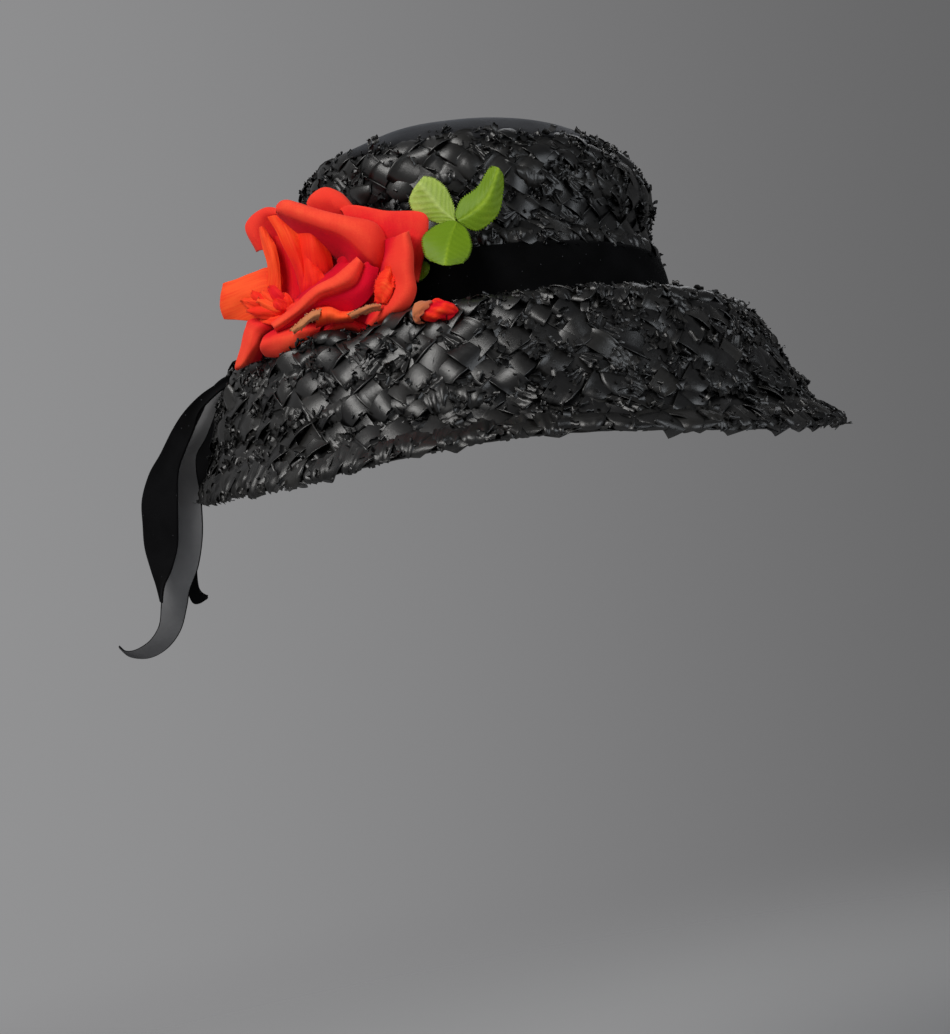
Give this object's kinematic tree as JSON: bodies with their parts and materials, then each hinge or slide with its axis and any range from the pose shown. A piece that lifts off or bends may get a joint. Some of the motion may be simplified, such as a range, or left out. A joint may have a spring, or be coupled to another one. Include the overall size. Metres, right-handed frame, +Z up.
{
  "type": "wide brim straw hat",
  "caption": "Wide brim hat of glossy black woven straw braid with a velvet band, strap and ribbon tails, a red cloth rose, green leaves and a small bud.",
  "frame": {"origin": "middle of the head opening, at the foot of the crown, where the hat sits on a head", "axes": "+X to the wearer's left, -Y to the front, +Z up"},
  "size_m": [0.3603, 0.3099, 0.225],
  "materials": {
    "straw": "glossy woven synthetic straw",
    "tip_cloth": "smooth soft cloth with a grey sheen",
    "velvet": "short black pile with a grey satin back",
    "rose_cloth": "stiffened red cloth with rolled edges",
    "heart_cloth": "orange red cloth, crimson in its folds",
    "leaf_cloth": "pale yellow green cloth, lightly waxed"
  },
  "bodies": {
    "root": {"crown_straw": "straw", "crown_tip": "tip_cloth", "brim_straw": "straw", "hat_band": "velvet", "brim_strap": "velvet", "ribbon_tail_left": "velvet", "ribbon_tail_middle": "velvet", "ribbon_tail_back": "velvet", "rose_petals": "rose_cloth", "rose_heart": "heart_cloth", "leaf_spray": "leaf_cloth", "side_leaf": "leaf_cloth", "rosebud": "rose_cloth"}
  },
  "joints": []
}
